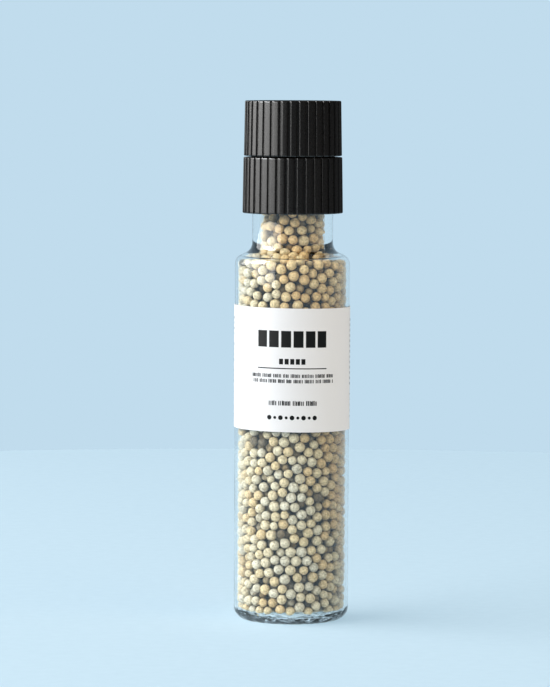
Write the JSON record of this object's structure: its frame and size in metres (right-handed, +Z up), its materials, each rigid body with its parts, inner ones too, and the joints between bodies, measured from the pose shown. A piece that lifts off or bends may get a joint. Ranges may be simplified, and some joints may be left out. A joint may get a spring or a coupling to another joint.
{
  "type": "pepper mill",
  "caption": "Slim clear glass bottle of peppercorns with a wrap label and a black ribbed two-piece head: a turning ring with conical burrs and a push-on overcap.",
  "frame": {"origin": "centre of the bottle's base, on the surface it stands on", "axes": "+Z up along the mill's axis, towards the overcap's flat top; -Y faces the front of the label"},
  "size_m": [0.0502, 0.0501, 0.225],
  "materials": {
    "clear_glass": "clear, polished",
    "label_paper": "smooth white paper with black print",
    "peppercorn": "dry, slightly wrinkled",
    "seal_foam": "soft white foam",
    "black_plastic": "satin moulded",
    "natural_acetal": "satin moulded",
    "stainless_steel": "brushed",
    "ceramic": "fired, unglazed",
    "brass": "turned"
  },
  "bodies": {
    "bottle": {"glass_bottle": "clear_glass", "paper_label": "label_paper", "peppercorn_fill": "peppercorn"},
    "seal": {"sealing_gasket": "seal_foam"},
    "collar": {"threaded_collar": "black_plastic", "spindle_bridge": "natural_acetal", "spindle": "stainless_steel", "spindle_clip": "stainless_steel", "spring_washer": "stainless_steel", "compression_spring": "stainless_steel"},
    "burr": {"inner_burr": "ceramic", "burr_hub": "natural_acetal", "knob_washer": "stainless_steel"},
    "knob": {"adjuster_knob": "black_plastic", "knob_insert": "brass"},
    "ring": {"grinding_ring": "black_plastic", "outer_burr": "ceramic", "burr_retainer": "natural_acetal", "glide_ring": "natural_acetal"},
    "overcap": {"overcap": "black_plastic", "cap_seal_disc": "seal_foam"}
  },
  "joints": [
    {"name": "head_rise", "type": "slide", "parent": "bottle", "child": "seal", "axis": [0, 0, 1], "range_m": [0, 0.007]},
    {"name": "head_unscrew", "type": "hinge", "parent": "seal", "child": "collar", "pos_m": [0, 0, 0.186], "axis": [0, 0, 1], "range_deg": [0, 631]},
    {"name": "ring_spin", "type": "hinge", "parent": "collar", "child": "ring", "pos_m": [0, 0, 0.19], "axis": [0, 0, 1], "continuous": true},
    {"name": "overcap_lift", "type": "slide", "parent": "ring", "child": "overcap", "axis": [0, 0, 1], "range_m": [0, 0.04]},
    {"name": "burr_slide", "type": "slide", "parent": "collar", "child": "burr", "axis": [0, 0, 1], "range_m": [0, 0.00225], "deforming": ["compression_spring"]},
    {"name": "knob_turn", "type": "hinge", "parent": "burr", "child": "knob", "pos_m": [0, 0, 0.215], "axis": [0, 0, 1], "range_deg": [0, 541]}
  ],
  "couplings": [
    {"joint": "head_unscrew", "follows": "head_rise", "rad_per_m": 1570.8},
    {"joint": "knob_turn", "follows": "burr_slide", "rad_per_m": 4188.8}
  ]
}
